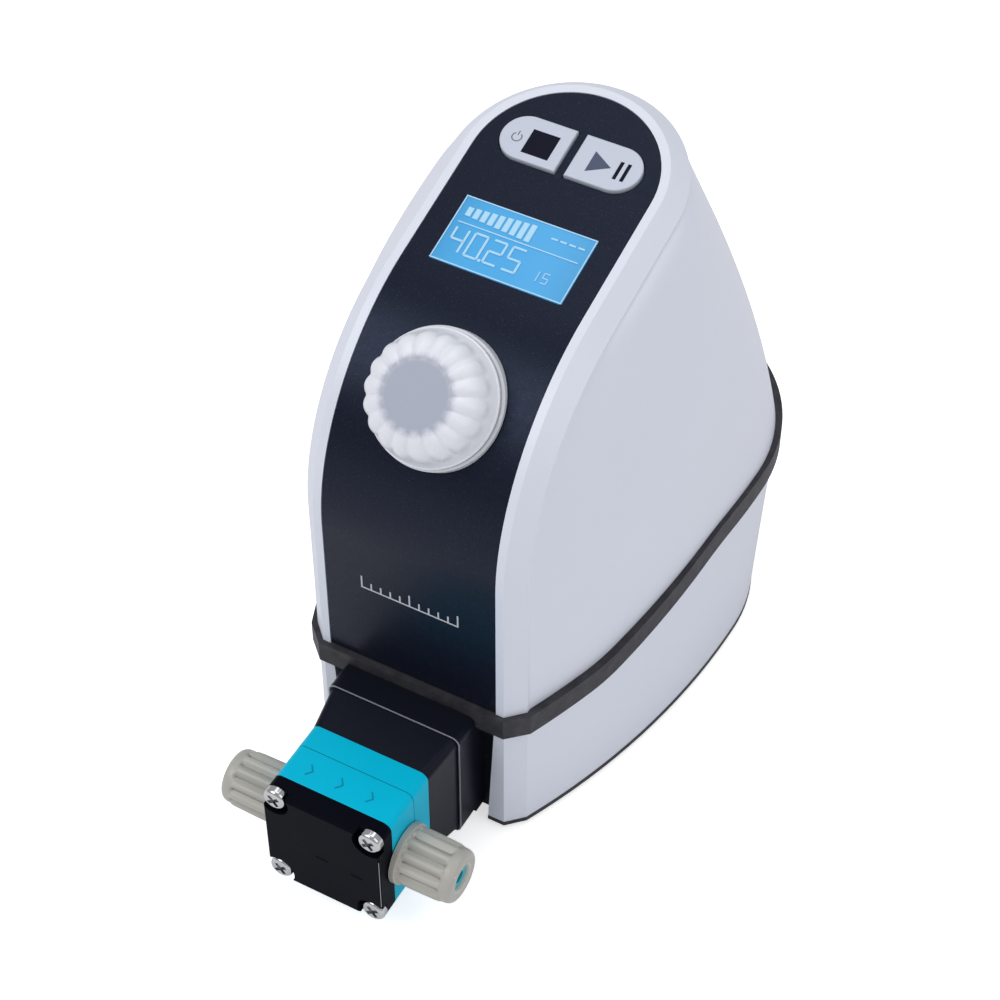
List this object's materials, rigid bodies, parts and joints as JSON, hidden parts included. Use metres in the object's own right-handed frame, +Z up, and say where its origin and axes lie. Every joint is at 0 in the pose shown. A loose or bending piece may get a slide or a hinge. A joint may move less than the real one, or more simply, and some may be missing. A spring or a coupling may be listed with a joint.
{
  "type": "diaphragm metering pump",
  "caption": "Bench diaphragm metering pump: arch-fronted housing with display, keys and turn-and-push knob, and a square pump head with union nuts on both sides.",
  "frame": {"origin": "on the ground under the middle of the pump's overall box", "axes": "+Z up, the pump head looks along -Y, +X towards the discharge nut"},
  "size_m": [0.0938, 0.1792, 0.1497],
  "materials": {
    "housing_white": "satin",
    "base_grey": "matte",
    "seam_rubber": "matte",
    "panel_black": "satin, fine grain",
    "display_glass": "clear gloss",
    "display_frame": "matte",
    "key_grey": "satin",
    "knob_pearl": "pearl",
    "ring_pearl": "satin",
    "board_green": "satin",
    "switch_black": "matte",
    "steel": "ground",
    "bright_screws": "polished",
    "dark_screws": "satin",
    "head_black": "satin",
    "front_plate_black": "satin",
    "head_teal": "satin",
    "sleeve_teal": "satin",
    "nut_beige": "satin",
    "elastomer": "matte",
    "core_steel": "turned",
    "valve_ceramic": "satin",
    "drive_alloy": "cast",
    "motor_black": "satin",
    "crank_steel": "turned",
    "rod_plastic": "satin",
    "socket_black": "matte"
  },
  "bodies": {
    "housing": {"lower_housing": "housing_white", "base_plate": "base_grey", "rubber_feet": "seam_rubber", "seam_gasket": "seam_rubber", "upper_housing": "housing_white", "front_panel": "panel_black", "display_lens": "display_glass", "display_module": "display_frame", "key_switches": "switch_black", "control_board": "board_green", "board_screws": "dark_screws", "knob_ring": "ring_pearl", "encoder_body": "switch_black", "encoder_nut": "steel", "head_adapter": "head_black", "diaphragm_membrane": "elastomer", "valve_plate": "head_teal", "valve_seals": "elastomer", "port_plate": "head_teal", "damping_diaphragm": "elastomer", "front_plate": "front_plate_black", "head_screws": "bright_screws", "drive_housing": "drive_alloy", "drive_screws": "dark_screws", "motor_plate": "drive_alloy", "motor_body": "motor_black", "motor_end_caps": "drive_alloy", "motor_screws": "dark_screws", "shaft_bearing": "steel", "case_screws": "dark_screws", "main_board": "board_green", "power_socket": "socket_black", "signal_socket": "socket_black"},
    "crank": {"motor_shaft": "steel", "eccentric": "crank_steel"},
    "rod": {"connecting_rod": "rod_plastic", "rod_bearing": "steel"},
    "diaphragm": {"diaphragm_core": "core_steel"},
    "inlet_valve": {"inlet_valve_disc": "valve_ceramic"},
    "outlet_valve": {"outlet_valve_disc": "valve_ceramic"},
    "stop_key": {"stop_key": "key_grey"},
    "start_key": {"start_key": "key_grey"},
    "knob_stem": {"encoder_plunger": "steel"},
    "knob": {"knob": "knob_pearl", "encoder_shaft": "steel"},
    "inlet_sleeve": {"inlet_sleeve": "sleeve_teal"},
    "inlet_nut": {"inlet_nut": "nut_beige"},
    "outlet_sleeve": {"outlet_sleeve": "sleeve_teal"},
    "outlet_nut": {"outlet_nut": "nut_beige"}
  },
  "joints": [
    {"name": "motor_spin", "type": "hinge", "parent": "housing", "child": "crank", "pos_m": [0, -0.02125, 0.0221], "axis": [0, 0, 1], "continuous": true},
    {"name": "rod_orbit", "type": "hinge", "parent": "crank", "child": "rod", "pos_m": [0.001, -0.02125, 0.0221], "axis": [0, 0, 1], "continuous": true},
    {"name": "diaphragm_stroke", "type": "slide", "parent": "housing", "child": "diaphragm", "axis": [0, 1, 0], "range_m": [-0.001, 0.001], "stiffness_N_per_m": 2000},
    {"name": "inlet_valve_lift", "type": "slide", "parent": "housing", "child": "inlet_valve", "axis": [0, 1, 0], "range_m": [0, 0.0004]},
    {"name": "outlet_valve_lift", "type": "slide", "parent": "housing", "child": "outlet_valve", "axis": [0, -1, 0], "range_m": [0, 0.0004]},
    {"name": "stop_key_press", "type": "slide", "parent": "housing", "child": "stop_key", "axis": [0, 0.2756, -0.9613], "range_m": [0, 0.0006], "stiffness_N_per_m": 2000},
    {"name": "start_key_press", "type": "slide", "parent": "housing", "child": "start_key", "axis": [0, 0.2756, -0.9613], "range_m": [0, 0.0006], "stiffness_N_per_m": 2000},
    {"name": "knob_push", "type": "slide", "parent": "housing", "child": "knob_stem", "axis": [0, 0.7193, -0.6947], "range_m": [0, 0.0008], "stiffness_N_per_m": 4000},
    {"name": "knob_turn", "type": "hinge", "parent": "knob_stem", "child": "knob", "pos_m": [0, -0.03352, 0.11997], "axis": [0, -0.7193, 0.6947], "continuous": true},
    {"name": "inlet_sleeve_slide", "type": "slide", "parent": "housing", "child": "inlet_sleeve", "axis": [-1, 0, 0], "range_m": [0, 0.00374]},
    {"name": "inlet_nut_turn", "type": "hinge", "parent": "inlet_sleeve", "child": "inlet_nut", "pos_m": [-0.023, -0.07905, 0.0221], "axis": [-1, 0, 0], "range_deg": [0, 1080]},
    {"name": "outlet_sleeve_slide", "type": "slide", "parent": "housing", "child": "outlet_sleeve", "axis": [1, 0, 0], "range_m": [0, 0.00374]},
    {"name": "outlet_nut_turn", "type": "hinge", "parent": "outlet_sleeve", "child": "outlet_nut", "pos_m": [0.023, -0.07905, 0.0221], "axis": [1, 0, 0], "range_deg": [0, 1080]}
  ],
  "couplings": [
    {"joint": "rod_orbit", "follows": "motor_spin", "ratio": -1},
    {"joint": "inlet_nut_turn", "follows": "inlet_sleeve_slide", "rad_per_m": 5026.5},
    {"joint": "outlet_nut_turn", "follows": "outlet_sleeve_slide", "rad_per_m": 5026.5}
  ]
}
